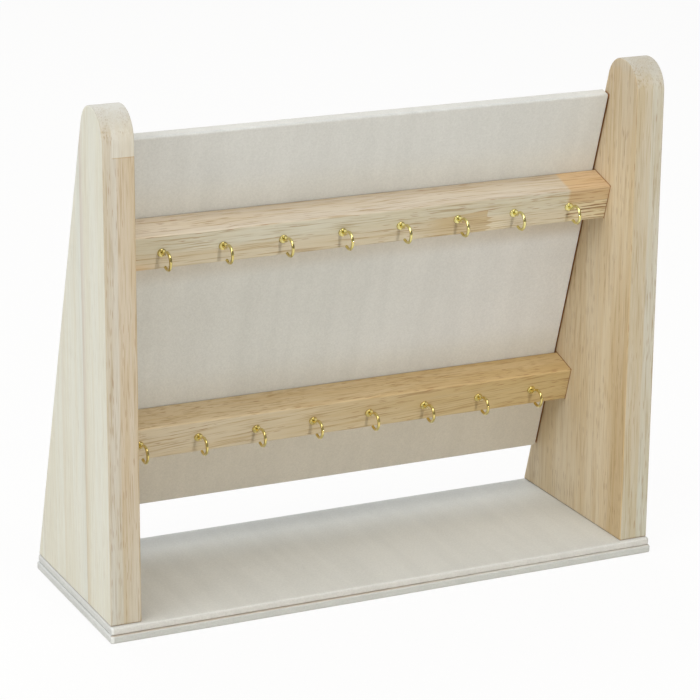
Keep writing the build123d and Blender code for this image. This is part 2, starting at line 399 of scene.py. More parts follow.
# Side panels: colours, and coats with how far they cover
EDGE_LAMELLAE = (linear(196, 189, 175), linear(194, 181, 160))
FOOT_TINT = (1.01, 1.06, 1.11, 1.0)
RIGHT_EDGE_TINT = (0.975, 1.0, 0.985, 1.0)
INNER_LOW = linear(225, 210, 182)
INNER_HIGH = linear(210, 195, 168)
OUTER_FACE = linear(231, 230, 217)
# Painted shade: darker tan on the rounded front corners
EASED_CORNER_SHADE = (linear(176, 156, 128), 0.55)
SEAM_PINK = linear(215, 206, 194)
SEAM_TAN = linear(215, 203, 176)
SEAM_COVER = 0.75
SEAM_PALE = (linear(227, 228, 219), 0.8)
GLUE_LINE = (linear(188, 172, 150), 0.35)
SIDE_HEART = (linear(196, 169, 122), 0.68)
# Painted shade on the inner faces close to the back panel
PANEL_CLOSE_SHADE = (linear(197, 170, 130), 0.2)
# Painted contact shade: a dark line at the foot, where the side panel stands on the base
FOOT_CONTACT_SHADE = (linear(164, 128, 90), 0.6)
TOP_BLOCK = (linear(203, 199, 187), 0.85)
JOINT_CUT = (linear(176, 150, 112), 0.6)
RIGHT_TOP = linear(186, 181, 169)
LEFT_TOP = linear(194, 192, 184)
TOP_COVER = 0.85
WORN_EDGE = linear(196, 191, 182)
WORN_INNER = linear(208, 197, 176)
WORN_COVER = 0.7
# Painted shade, brown, in the gaps where the back panel and the rails meet the side panels
SEAT_SHADE_BROWN = (linear(172, 114, 56), 0.9)

# Side panels: bounds of the masks. Inward is 0 on the outer face and 1 on the inner one, facing is -1 to 1
OUTER_INWARD = (0.035, 0.004)
INNER_INWARD = (0.965, 0.995)
LAMELLA_INWARD = (LAMELLA_SHARE - 0.03, LAMELLA_SHARE + 0.03)
BLOCK_INWARD = (0.28, 0.31)
TOP_CROWD_INWARD = (0.4, 0.95)
TOP_CROWDS = (-0.5, 0.7)
EDGE_CROWD_INWARD = (0.03, 0.30)
EDGE_CROWD_SOFT = 0.03
CROWD_STRENGTH = 0.55
FACING_FRONT = -0.2
FACING_BACK = (0.3, 0.8)
FACING_UP = (0.25, 0.80)
EASED_FACING = (0.30, 0.92)
EASED_SOFT = 0.06
WORN_FACING = (0.5, 0.2)
PINK_ALONG = (0.80, 1.0)
PALE_ALONG = (0.35, 0.0)
OTHER_STAVES_PINK = 0.25

# Side panels: where the tones change, as heights, or as places behind the front edge
EDGE_FOOT_Z = (100 * MM, 30 * MM)
INNER_HIGH_Z = (240 * MM, 300 * MM)
SEAM_TAN_Z = (160 * MM, 60 * MM)
SIDE_HEART_Z = (240 * MM, 60 * MM)
SIDE_HEART_DEPTH = (26 * MM, 12 * MM)
PANEL_CLOSE_REACH = 14 * MM
FOOT_LINE_Z = (upper_high.z + 0.9 * MM, upper_high.z + 0.3 * MM)
GLUE_LINE_WIDTH = (0.5 * MM, 0.1 * MM)
BLOCK_Z = (SIDE_JOINT_Z - 0.2 * MM, SIDE_JOINT_Z + 0.2 * MM)
JOINT_CUT_Z = (SIDE_JOINT_Z - 0.4 * MM, SIDE_JOINT_Z + 0.1 * MM)
JOINT_SOFT = 0.2 * MM
WORN_LUMPS = 130.0
WORN_TOP = STAND_HEIGHT - 6 * MM
WORN_RAGGED = 12 * MM
WORN_INNER_LESS = 7 * MM
WORN_DEPTH = (16 * MM, 12 * MM)
STAVE_APART = 0.37
SEAT_MARGIN = 1 * MM
SEAT_INSET = 0.7 * MM
SEAT_SOFT = 0.1 * MM
HAIRLINE = 0.3 * MM


def side_masks(tree):
    """Places and masks that a side panel's finish is painted with.

    Inward is the depth under the outer face, by the thickness. Staves are counted from the front edge, and
    each is gone through from 0 to 1. Forward and drop are measured from the slant."""
    x, y, z = axes(tree, own_place(tree))
    sideways, backwards, upwards = facing(tree)
    depth = calc(tree, "SUBTRACT", SIDE_OUTER_X, calc(tree, "ABSOLUTE", x))
    inward = calc(tree, "DIVIDE", depth, SIDE_THICK)
    behind_front = calc(tree, "SUBTRACT", y, SIDE_FRONT_Y)
    stave = calc(tree, "DIVIDE", behind_front, STAVE_WIDTH)
    forward, drop = slant_place(tree, y, z)
    return SimpleNamespace(
        x=x,
        y=y,
        z=z,
        sideways=sideways,
        upwards=upwards,
        inward=inward,
        behind_front=behind_front,
        stave_number=calc(tree, "FLOOR", stave),
        along_stave=calc(tree, "FRACT", stave),
        forward=forward,
        drop=drop,
        left=calc(tree, "LESS_THAN", x, 0.0),
        in_front=calc(tree, "LESS_THAN", backwards, FACING_FRONT),
        slanting=fade(tree, backwards, *FACING_BACK),
        end_grain=fade(tree, upwards, *FACING_UP),
        outer=fade(tree, inward, *OUTER_INWARD),
        inner=fade(tree, inward, *INNER_INWARD),
    )


def side_grain(tree, at):
    """Upright grain, with a stretch of its own for each stave.

    Pores crowd in the end grain of the tops, towards the inside, and in the front edge's outer lamella."""
    apart = calc(tree, "MULTIPLY_ADD", at.stave_number, STAVE_APART, at.x)
    top_crowd = product(tree, at.end_grain, fade(tree, at.inward, *TOP_CROWD_INWARD, *TOP_CROWDS))
    edge_crowd = product(tree, between(tree, at.inward, *EDGE_CROWD_INWARD, EDGE_CROWD_SOFT), at.in_front)
    edge_crowd = product(tree, edge_crowd, opposite(tree, at.end_grain))
    crowd = product(tree, calc(tree, "ADD", top_crowd, edge_crowd), CROWD_STRENGTH)
    return use_group(tree, grain_group, Place=put(tree, "CombineXYZ", (at.z, at.y, apart)), Crowd=crowd)


def side_faces(tree, at):
    """Pale outer faces, tan inner faces, edges of two lamellae, and painted shade on the eased front
    corners.
    """
    edge = blend(tree, fade(tree, at.inward, *LAMELLA_INWARD), *EDGE_LAMELLAE)
    edge = blend(tree, fade(tree, at.z, *EDGE_FOOT_Z), edge, tinted(tree, edge, FOOT_TINT))
    edge = blend(tree, at.left, tinted(tree, edge, RIGHT_EDGE_TINT), edge)
    inner_face = blend(tree, fade(tree, at.z, *INNER_HIGH_Z), INNER_LOW, INNER_HIGH)
    colour = blend(tree, at.inner, edge, inner_face)
    colour = blend(tree, at.outer, colour, OUTER_FACE)
    # Painted shade on the eased front corners
    eased = between(tree, calc(tree, "ABSOLUTE", at.sideways), *EASED_FACING, EASED_SOFT)
    return paint(tree, colour, product(tree, eased, at.in_front), EASED_CORNER_SHADE)


def side_seams(tree, at, colour):
    """Glue lines between the staves.

    By its seam the front stave is pinker on the outer face, tan at the foot, and the next one paler."""
    first = fade(tree, at.stave_number, 0.9, 0.1, OTHER_STAVES_PINK)
    pink = product(tree, at.outer, fade(tree, at.along_stave, *PINK_ALONG), first, SEAM_COVER)
    colour = blend(tree, pink, colour, blend(tree, fade(tree, at.z, *SEAM_TAN_Z), SEAM_PINK, SEAM_TAN))
    second = between(tree, at.stave_number, 0.5, 1.5, 0.2)
    pale = product(tree, at.outer, fade(tree, at.along_stave, *PALE_ALONG), second)
    colour = paint(tree, colour, pale, SEAM_PALE)
    to_seam = calc(tree, "PINGPONG", at.behind_front, STAVE_WIDTH)
    wide, narrow = GLUE_LINE_WIDTH
    return paint(tree, colour, fade(tree, to_seam, STAVE_WIDTH - wide, STAVE_WIDTH - narrow), GLUE_LINE)


def side_warm_parts(tree, at, colour):
    """Warm heart low at the front of the inner faces, painted shade beside the back panel, and a dark line
    of painted contact shade at the foot.
    """
    heart = product(tree, at.inner, fade(tree, at.behind_front, *SIDE_HEART_DEPTH))
    heart = product(tree, heart, fade(tree, at.z, *SIDE_HEART_Z))
    colour = paint(tree, colour, heart, SIDE_HEART)
    # Painted shade close to the back panel
    close = product(tree, at.inner, fade(tree, at.forward, PANEL_THICK + PANEL_CLOSE_REACH, PANEL_THICK))
    colour = paint(tree, colour, close, PANEL_CLOSE_SHADE)
    # Painted contact shade along the foot
    return paint(tree, colour, fade(tree, at.z, *FOOT_LINE_Z), FOOT_CONTACT_SHADE)


def side_block(tree, at, colour):
    """Joint near the top of the left panel, with a paler block above it: (colour, where the block is)."""
    first = fade(tree, at.stave_number, 0.1, 0.0)
    jointed = product(tree, at.left, fade(tree, at.inward, *BLOCK_INWARD), first)
    block_colour, cover = TOP_BLOCK
    block = product(tree, jointed, fade(tree, at.z, *BLOCK_Z), cover)
    colour = blend(tree, block, colour, block_colour)
    cut = between(tree, at.z, *JOINT_CUT_Z, JOINT_SOFT)
    return paint(tree, colour, product(tree, cut, jointed), JOINT_CUT), block


def side_top(tree, at, colour):
    """End grain on the tops, and a ragged sanded patch around the top of the right panel."""
    top_colour = blend(tree, at.left, RIGHT_TOP, LEFT_TOP)
    colour = paint(tree, colour, at.end_grain, (top_colour, TOP_COVER))
    ragged = noise(tree, put(tree, "CombineXYZ", (at.x, at.y, at.z)), WORN_LUMPS, 3.0)
    depth = calc(tree, "SUBTRACT", WORN_TOP, at.z)
    depth = share(tree, depth, (ragged, WORN_RAGGED), (at.inner, WORN_INNER_LESS))
    worn = product(tree, fade(tree, depth, *WORN_DEPTH), opposite(tree, at.left))
    worn = product(tree, worn, fade(tree, at.upwards, *WORN_FACING))
    return paint(tree, colour, worn, (blend(tree, at.inner, WORN_EDGE, WORN_INNER), WORN_COVER))


def seat_shade(tree, forward, drop):
    """Painted shade: 1 where the back panel and the rails stand against a side panel, with a hairline
    around the rails.
    """
    panel_front = PANEL_THICK - SEAT_INSET
    panel_end = PANEL_TOP_DROP + PANEL_LENGTH
    panel_seat = product(
        tree,
        between(tree, forward, SEAT_MARGIN, panel_front, 2 * SEAT_SOFT),
        between(tree, drop, PANEL_TOP_DROP + SEAT_MARGIN, panel_end - SEAT_MARGIN, 5 * SEAT_SOFT),
    )
    reach = RAIL_HEIGHT / 2 + HAIRLINE
    upper_seat = between(tree, drop, UPPER_RAIL_DROP - reach, UPPER_RAIL_DROP + reach, SEAT_SOFT)
    lower_seat = between(tree, drop, LOWER_RAIL_DROP - reach, LOWER_RAIL_DROP + reach, SEAT_SOFT)
    rail_front = PANEL_THICK + RAIL_DEPTH + HAIRLINE
    rail_seat = product(
        tree,
        calc(tree, "MAXIMUM", upper_seat, lower_seat),
        between(tree, forward, panel_front, rail_front, SEAT_SOFT),
    )
    return calc(tree, "MAXIMUM", panel_seat, rail_seat)


def side_wood():
    """Edge-glued staves of pale hardwood, standing on end.

    The finish is painted coat by coat. The grain over it is fainter outside and on the slanting edges."""
    material, tree, shader = new_material("side_wood")
    at = side_masks(tree)
    colour = side_faces(tree, at)
    colour = side_seams(tree, at, colour)
    colour = side_warm_parts(tree, at, colour)
    colour, block = side_block(tree, at, colour)
    colour = side_top(tree, at, colour)
    colour = paint(tree, colour, product(tree, seat_shade(tree, at.forward, at.drop), at.inner), SEAT_SHADE_BROWN)
    plain = calc(tree, "MAXIMUM", at.end_grain, block)
    warmth = share(tree, 0.75, (at.outer, -0.45), (plain, -0.4))
    line_share = share(tree, 0.62, (at.outer, -0.38), (at.slanting, -0.35), (block, -0.4))
    pore_share = share(tree, 0.4, (at.inner, 0.1), (at.outer, -0.28), (at.slanting, -0.25))
    finish_wood(tree, shader, colour, side_grain(tree, at), warmth, line_share, pore_share)
    return material


# Rails: colours, and coats with how far they cover
UPPER_FRONT = linear(203, 198, 180)
UPPER_FRONT_LOW = (linear(200, 187, 161), 0.8)
UPPER_TOP = (linear(206, 194, 175), linear(192, 178, 157))
UPPER_TOP_TINTS = ((1.08, 1.07, 1.05, 1.0), (0.955, 0.955, 0.955, 1.0))
# Painted shade on the rounded top front corner of the upper rail's right half
UPPER_CORNER_SHADE_TINT = (0.87, 0.86, 0.84, 1.0)
RAIL_HEART = (linear(192, 174, 140), 0.9)
PAST_HEART = (linear(216, 206, 182), 0.7)
HEART_LINE = (linear(150, 112, 74), 0.6)
LAST_FRONT = linear(198, 175, 140)
LAST_FRONT_LOW = linear(209, 196, 164)
LAST_TOP = linear(203, 175, 137)
LAST_LINES = linear(134, 98, 60)
LEFT_CORNER = (linear(206, 175, 134), 0.7)
LOWER_FRONT = (linear(210, 198, 174), linear(196, 173, 126))
LOWER_TOP = (linear(209, 190, 156), linear(204, 178, 131))

# Rails: where the tones change, as places along a rail, up from its middle and back from its middle
HALF_HEIGHT = RAIL_HEIGHT / 2
HALF_DEPTH = RAIL_DEPTH / 2
TOP_UP = (HALF_HEIGHT - 1.3 * MM, HALF_HEIGHT - 0.3 * MM)
LOW_UP = (2.5 * MM, -4.5 * MM)
LAST_X = (RAIL_JOINT_X - 2 * MM, RAIL_JOINT_X + 1 * MM)
LAST_LOW_UP = (3.2 * MM, 2.0 * MM)
LAST_BAND_UP = (2.2 * MM, 2.7 * MM)
LAST_BAND_SOFT = 0.2 * MM
LAST_BAND_COVER = 0.5
LAST_LUMPS = (40, 100, 780)
WAVY_RANGE = (0.56, 0.61)
WAVY_COVER = 0.85
LAST_CROWD = 0.45
FLECKS_CROWD = 0.35
FLECKS_X = (-6 * MM, 30 * MM)
FLECKS_X_SOFT = 6 * MM
FLECKS_UP = (-9 * MM, -4 * MM)
FLECKS_UP_SOFT = 2 * MM
TOP_TINT_X = (-140 * MM, -50 * MM)
TOP_BACK = (-1 * MM, 9 * MM)
FINGERS_UP = (0.0, -3 * MM)
HEART_BEGIN_X = (30 * MM, 52 * MM)
HEART_RISE = 4.4 * MM
HEART_SLOPE = 0.075
HEART_SOFT = 0.4 * MM
PAST_HEART_X = (100 * MM, 86 * MM)
HEART_LINE_HALF = 0.3 * MM
HEART_LINE_X = (72 * MM, 90 * MM)
HEART_LINE_SOFT = 4 * MM
CORNER_UP = (HALF_HEIGHT - 1.6 * MM, HALF_HEIGHT - 0.8 * MM)
CORNER_BACK = (-HALF_DEPTH + 1.6 * MM, -HALF_DEPTH + 0.8 * MM)
CORNER_X = (0.0, 100 * MM)
LEFT_CORNER_X = (-135 * MM, -160 * MM)
LEFT_CORNER_UP = (-5 * MM, -10 * MM)
LOWER_X = (-160 * MM, 160 * MM)
LOWER_CROWD_BACK = (-8 * MM, 8 * MM)
LOWER_CROWD = 0.26
LOWER_SHEAR = -0.055


def rail_masks(tree, drop, shear):
    """Places on a rail, square with the slant and from the rail's middle: x along it, back and up.

    The shear tilts the grain so that its lines run slowly up across the rail."""
    middle = SLANT_TOP - SLANT_UP * drop + SLANT_FORWARD * (PANEL_THICK + HALF_DEPTH)
    turned = Matrix.Rotation(-LEAN, 3, "X")
    place = put(tree, "Mapping", (own_place(tree), -(turned @ middle), (-LEAN, 0.0, 0.0)))
    x, back, up = axes(tree, place)
    return SimpleNamespace(
        x=x,
        back=back,
        up=up,
        grain_place=put(tree, "CombineXYZ", (x, back, calc(tree, "MULTIPLY_ADD", x, shear, up))),
        top=fade(tree, up, *TOP_UP),
    )


def rail_heart(tree, at, low, colour):
    """Tan heart of the upper rail: it begins softly, rises to the right and ends in a finger joint.

    Its end goes to and fro with the height. Past it the wood is pale, and a dark line tops the heart."""
    finger = product(tree, calc(tree, "PINGPONG", at.up, FINGER_PITCH / 2), fade(tree, at.up, *FINGERS_UP))
    steepness = 2 * FINGER_LENGTH / FINGER_PITCH
    end = calc(tree, "MULTIPLY_ADD", finger, steepness, HEART_END_X - FINGER_LENGTH / 2)
    to_end = calc(tree, "SUBTRACT", end, at.x)
    past = calc(tree, "SUBTRACT", at.x, HEART_END_X)
    heart_top = calc(tree, "MULTIPLY_ADD", past, HEART_SLOPE, HEART_RISE)
    under_top = calc(tree, "SUBTRACT", heart_top, at.up)
    in_length = product(
        tree,
        fade(tree, at.x, *HEART_BEGIN_X),
        fade(tree, to_end, -HEART_SOFT, HEART_SOFT),
    )
    heart = product(tree, in_length, fade(tree, under_top, -HEART_SOFT, HEART_SOFT))
    colour = paint(tree, colour, heart, RAIL_HEART)
    past_end = product(tree, fade(tree, to_end, HEART_SOFT, -HEART_SOFT), low)
    colour = paint(tree, colour, product(tree, past_end, fade(tree, at.x, *PAST_HEART_X)), PAST_HEART)
    top_line = product(
        tree,
        between(tree, under_top, -HEART_LINE_HALF, HEART_LINE_HALF, HEART_LINE_HALF),
        between(tree, at.x, *HEART_LINE_X, HEART_LINE_SOFT),
    )
    return paint(tree, colour, top_line, HEART_LINE)


def last_length_colour(tree, at):
    """Darker last length of the upper rail: tan above, a line, and paler with wavy brown lines below."""
    low = fade(tree, at.up, *LAST_LOW_UP)
    colour = blend(tree, low, LAST_FRONT, LAST_FRONT_LOW)
    colour = blend(tree, at.top, colour, LAST_TOP)
    wavy = noise(tree, stretch(tree, at.grain_place, *LAST_LUMPS), 1.0, 2.0, 0.5, 0.3)
    wavy = product(tree, fade(tree, wavy, *WAVY_RANGE), low, WAVY_COVER)
    band = product(tree, between(tree, at.up, *LAST_BAND_UP, LAST_BAND_SOFT), LAST_BAND_COVER)
    return blend(tree, calc(tree, "MAXIMUM", wavy, band), colour, LAST_LINES)


def upper_rail_wood():
    """Pale bar, finger-jointed from shorter lengths: pinkish on top, creamy in front, tan at its heart."""
    material, tree, shader = new_material("upper_rail_wood")
    at = rail_masks(tree, UPPER_RAIL_DROP, 0.0)
    low = fade(tree, at.up, *LOW_UP)
    last = fade(tree, at.x, *LAST_X)
    flecks = product(
        tree,
        between(tree, at.x, *FLECKS_X, FLECKS_X_SOFT),
        between(tree, at.up, *FLECKS_UP, FLECKS_UP_SOFT),
    )
    crowd = share(tree, 0.0, (flecks, FLECKS_CROWD), (product(tree, last, low), LAST_CROWD))
    grain = use_group(tree, grain_group, Place=at.grain_place, Crowd=crowd)
    colour = paint(tree, UPPER_FRONT, low, UPPER_FRONT_LOW)
    top_colour = blend(tree, fade(tree, at.back, *TOP_BACK), *UPPER_TOP)
    top_tint = blend(tree, fade(tree, at.x, *TOP_TINT_X), *UPPER_TOP_TINTS)
    colour = blend(tree, at.top, colour, tinted(tree, top_colour, top_tint))
    colour = rail_heart(tree, at, low, colour)
    colour = blend(tree, last, colour, last_length_colour(tree, at))
    # Painted shade on the eased top front corner, to the right
    corner = product(tree, fade(tree, at.up, *CORNER_UP), fade(tree, at.x, *CORNER_X))
    corner = product(tree, corner, fade(tree, at.back, *CORNER_BACK))
    colour = blend(tree, corner, colour, tinted(tree, colour, UPPER_CORNER_SHADE_TINT))
    left_corner = product(tree, fade(tree, at.x, *LEFT_CORNER_X), fade(tree, at.up, *LEFT_CORNER_UP))
    colour = paint(tree, colour, left_corner, LEFT_CORNER)
    finish_wood(tree, shader, colour, grain, warmth=0.6, line_share=0.9, pore_share=0.55)
    return material


def lower_rail_wood():
    """Yellower bar with long oblique lines in front, and short dark pores at the back of its top."""
    material, tree, shader = new_material("lower_rail_wood")
    at = rail_masks(tree, LOWER_RAIL_DROP, LOWER_SHEAR)
    crowd = product(tree, at.top, fade(tree, at.back, *LOWER_CROWD_BACK, 0.0, LOWER_CROWD))
    grain = use_group(tree, grain_group, Place=at.grain_place, Crowd=crowd)
    to_right = fade(tree, at.x, *LOWER_X)
    front_colour = blend(tree, to_right, *LOWER_FRONT)
    colour = blend(tree, at.top, front_colour, blend(tree, to_right, *LOWER_TOP))
    finish_wood(tree, shader, colour, grain, warmth=0.6, line_share=0.85, pore_share=0.6)
    return material


# Velvet: colours, and coats with how far they cover
PANEL_HIGH = linear(204, 204, 200)
# Painted light: paler between the rails and to the right
PANEL_MIDDLE_LIT = (linear(209, 209, 204), linear(214, 213, 210))
# Painted shade, warm, at the foot below the lower rail
PANEL_FOOT_SHADE = linear(209, 202, 188)
# Painted bounce light, warm, on the cloth close to each rail
PANEL_BOUNCE_BY_RAIL = (linear(206, 204, 196), 0.7)
# Painted shade under the upper rail, strongest to the right
PANEL_SHADE_UNDER_RAIL = linear(193, 184, 169)
UNDER_RAIL_COVERS = (0.6, 1.0)
PANEL_BACK = linear(206, 204, 197)
BASE_EDGE = linear(205, 203, 197)
BASE_TOP = linear(207, 206, 199)
# Painted light on the back of the base top
BASE_TOP_BACK_LIT = linear(215, 217, 214)
# Painted shade on the lower board's front
BASE_LOWER_FRONT_SHADE = linear(193, 194, 189)
# Painted light on the left edges
BASE_LEFT_EDGE_LIT = linear(219, 220, 217)
# Painted shade, brownish, in the crease between the two boards at the front
BASE_SEAM_SHADE = linear(168, 146, 122)
BASE_SEAM_COVERS = (0.6, 0.25)
MOTTLE_TONES = (0.970, 1.016)
TUFT_RANGE = (0.25, 0.75)
TUFT_TONES = (0.94, 1.05)
NAP_RELIEF = 0.25 * MM

# Velvet: where the tones change
MIDDLE_X = (-50 * MM, 150 * MM)
MIDDLE_SOFT = 2 * MM
FOOT_DROP = (LOWER_RAIL_DROP - 1 * MM, LOWER_RAIL_DROP + 1 * MM)
BY_RAIL = 30 * MM
BY_RAIL_SOFT = 10 * MM
UNDER_RAIL = (42 * MM, 27 * MM)
UNDER_RAIL_X = (60 * MM, 150 * MM)
FRONT_FACE = (PANEL_THICK - 2 * MM, PANEL_THICK - 1 * MM)
BASE_BACK_Y = (0.0, 55 * MM)
LEFT_EDGE_X = (upper_low.x + 1.8 * MM, upper_low.x + 1.0 * MM)
FRONT_EDGE_Y = (upper_low.y + 1.8 * MM, upper_low.y + 1.0 * MM)
SEAM_HALF = 0.45 * MM
SEAM_SOFT = 0.2 * MM
SEAM_X = (-20 * MM, 80 * MM)


def panel_tone(tree):
    """Greige with painted light and shade: lit paler between the rails and to the right, warmed by painted
    bounce light close to each rail, with painted shade under the upper rail and warm painted shade at the
    foot.
    """
    x, y, z = axes(tree, own_place(tree))
    forward, drop = slant_place(tree, y, z)
    middle = between(tree, drop, UPPER_RAIL_DROP, LOWER_RAIL_DROP, MIDDLE_SOFT)
    # Painted light between the rails, and painted warm shade at the foot
    colour = blend(tree, middle, PANEL_HIGH, blend(tree, fade(tree, x, *MIDDLE_X), *PANEL_MIDDLE_LIT))
    colour = blend(tree, fade(tree, drop, *FOOT_DROP), colour, PANEL_FOOT_SHADE)
    below_upper = calc(tree, "SUBTRACT", drop, UPPER_RAIL_DROP)
    above_lower = calc(tree, "SUBTRACT", LOWER_RAIL_DROP, drop)
    # Painted bounce light close to the rails
    above_upper = between(tree, below_upper, -BY_RAIL, 0.0, BY_RAIL_SOFT)
    bounce_by_rail = calc(tree, "MAXIMUM", above_upper, between(tree, above_lower, 0.0, BY_RAIL, BY_RAIL_SOFT))
    colour = paint(tree, colour, bounce_by_rail, PANEL_BOUNCE_BY_RAIL)
    # Painted shade under the upper rail
    shade_under_rail = product(tree, fade(tree, below_upper, *UNDER_RAIL), middle)
    shade_under_rail = product(tree, shade_under_rail, fade(tree, x, *UNDER_RAIL_X, *UNDER_RAIL_COVERS))
    colour = blend(tree, shade_under_rail, colour, PANEL_SHADE_UNDER_RAIL)
    return blend(tree, fade(tree, forward, *FRONT_FACE), PANEL_BACK, colour)


def base_tone(tree):
    """Greige with painted light, paler on the left edges and towards the back of the top, painted shade on
    the lower board's front, and brownish painted shade in the crease between the two boards.
    """
    x, y, z = axes(tree, own_place(tree))
    _, backwards, upwards = facing(tree)
    upper_face = fade(tree, upwards, 0.5, 0.9)
    colour = blend(tree, upper_face, BASE_EDGE, BASE_TOP)
    # Painted light towards the back of the top
    colour = blend(tree, product(tree, upper_face, fade(tree, y, *BASE_BACK_Y)), colour, BASE_TOP_BACK_LIT)
    lower_front = product(tree, fade(tree, backwards, -0.4, -0.9), calc(tree, "LESS_THAN", z, upper_low.z))
    # Painted shade on the lower front, and painted light on the left edges
    colour = blend(tree, lower_front, colour, BASE_LOWER_FRONT_SHADE)
    colour = blend(tree, fade(tree, x, *LEFT_EDGE_X), colour, BASE_LEFT_EDGE_LIT)
    # Painted shade in the crease between the boards
    seam = between(tree, z, upper_low.z - SEAM_HALF, upper_low.z + SEAM_HALF, SEAM_SOFT)
    seam = product(tree, seam, fade(tree, y, *FRONT_EDGE_Y), fade(tree, x, *SEAM_X, *BASE_SEAM_COVERS))
    return blend(tree, seam, colour, BASE_SEAM_SHADE)


def velvet(name, turned, tone_of):
    """Short-pile velvet in nearly one colour: matt, and a little uneven where the pile lies differently."""
    material, tree, shader = new_material(name)
    colour = tone_of(tree)
    nap = use_group(tree, nap_group, Place=put(tree, "Mapping", (own_place(tree), None, turned)))
    mottle = fade(tree, nap["Mottle"], 0.0, 1.0, *MOTTLE_TONES)
    tone = calc(tree, "MULTIPLY", mottle, fade(tree, nap["Fibre"], *TUFT_RANGE, *TUFT_TONES))
    tree.links.new(tinted(tree, colour, grey(tree, tone)), shader.inputs["Base Color"])
    tree.links.new(bump(tree, nap["Fibre"], NAP_RELIEF, 0.5), shader.inputs["Normal"])
    set_constants(shader, {"Roughness": 0.95, "Specular IOR Level": 0.1})
    set_constants(shader, {"Sheen Weight": 0.15, "Sheen Roughness": 0.5})
    return material


# Brass: dark and pale parts of the polish, with painted light and shade by place: more golden on the lower
# hooks, and on the upper hooks darker to the left and paler to the right
LOWER_BRASS = (linear(206, 180, 84), linear(233, 217, 138))
UPPER_LEFT_BRASS = (linear(192, 168, 78), linear(222, 207, 128))
UPPER_RIGHT_BRASS = (linear(213, 198, 104), linear(236, 228, 158))
BRASS_X = (-170 * MM, 120 * MM)
BRASS_Z = (130 * MM, 200 * MM)
BRASS_LUMPS = 700.0
BRASS_ROUGHNESS = (0.08, 0.16)


def brass():
    """Bright lemon brass plating under clear lacquer, with a faintly uneven polish and tones that change
    with the hook's place as painted light and shade.
    """
    material, tree, shader = new_material("hook_brass")
    place = own_place(tree)
    x, _, z = axes(tree, place)
    # Painted light and shade: the tone goes by height, and on the upper hooks from left to right
    to_right = fade(tree, x, *BRASS_X)
    upper = fade(tree, z, *BRASS_Z)
    dark, pale = (
        blend(tree, upper, lower_tone, blend(tree, to_right, left_tone, right_tone))
        for lower_tone, left_tone, right_tone in zip(LOWER_BRASS, UPPER_LEFT_BRASS, UPPER_RIGHT_BRASS)
    )
    cloud = noise(tree, place, BRASS_LUMPS, 2.0)
    tree.links.new(blend(tree, cloud, dark, pale), shader.inputs["Base Color"])
    tree.links.new(fade(tree, cloud, 0.3, 0.7, *BRASS_ROUGHNESS), shader.inputs["Roughness"])
    set_constants(shader, {"Metallic": 1.0})
    set_constants(shader, {"Coat Weight": 1.0, "Coat Roughness": 0.12, "Coat IOR": 1.75})
    return material


def speckled(name, first, second, lumps, metallic=0.0, roughness=0.7):
    """A hidden piece's finish: two close colours in fine speckles."""
    material, tree, shader = new_material(name)
    cloud = noise(tree, own_place(tree), lumps, 4.0, 0.7)
    tree.links.new(blend(tree, cloud, first, second), shader.inputs["Base Color"])
    uneven = fade(tree, cloud, 0.2, 0.8, roughness - 0.08, roughness + 0.08)
    tree.links.new(uneven, shader.inputs["Roughness"])
    set_constants(shader, {"Metallic": metallic})
    return material


# Covered boards
def wrap_lengths(thick):
    """Lengths of the wrapped edge's parts: a short flat, a quarter circle and the upright edge."""
    return CLOTH_CORNER_R - CLOTH_EDGE_R, CLOTH_EDGE_R * np.pi / 2, thick - 2 * CLOTH_EDGE_R


def wrap_profile(overshoot, thick):
    """Reach outwards and drop of the cloth at an arc length past the straight part of the face.

    The profile is a short flat, a quarter circle, the upright edge, a second quarter circle and the flat
    that is turned in."""
    flat, quarter, upright = wrap_lengths(thick)
    over = np.clip((overshoot - flat) / CLOTH_EDGE_R, 0, np.pi / 2)
    down = np.clip(overshoot - flat - quarter, 0, upright)
    under = np.clip((overshoot - flat - quarter - upright) / CLOTH_EDGE_R, 0, np.pi / 2)
    back = np.maximum(overshoot - flat - 2 * quarter - upright, 0)
    reach = np.minimum(overshoot, flat) + CLOTH_EDGE_R * (np.sin(over) - (1 - np.cos(under))) - back
    drop = CLOTH_EDGE_R * (1 - np.cos(over)) + down + CLOTH_EDGE_R * np.sin(under)
    return reach, drop


def wrap_steps(thick):
    """Arc lengths where the wrapped edge gets a row of points: close in roundings, wide on flats."""
    flat, quarter, upright = wrap_lengths(thick)
    marks = np.cumsum([0, flat, quarter, upright, quarter, TURN_IN - CLOTH_CORNER_R])
    rows = [np.linspace(a, b, n, endpoint=False) for a, b, n in zip(marks[:-1], marks[1:], WRAP_ROWS)]
    return np.concatenate([*rows, marks[-1:]])[1:]


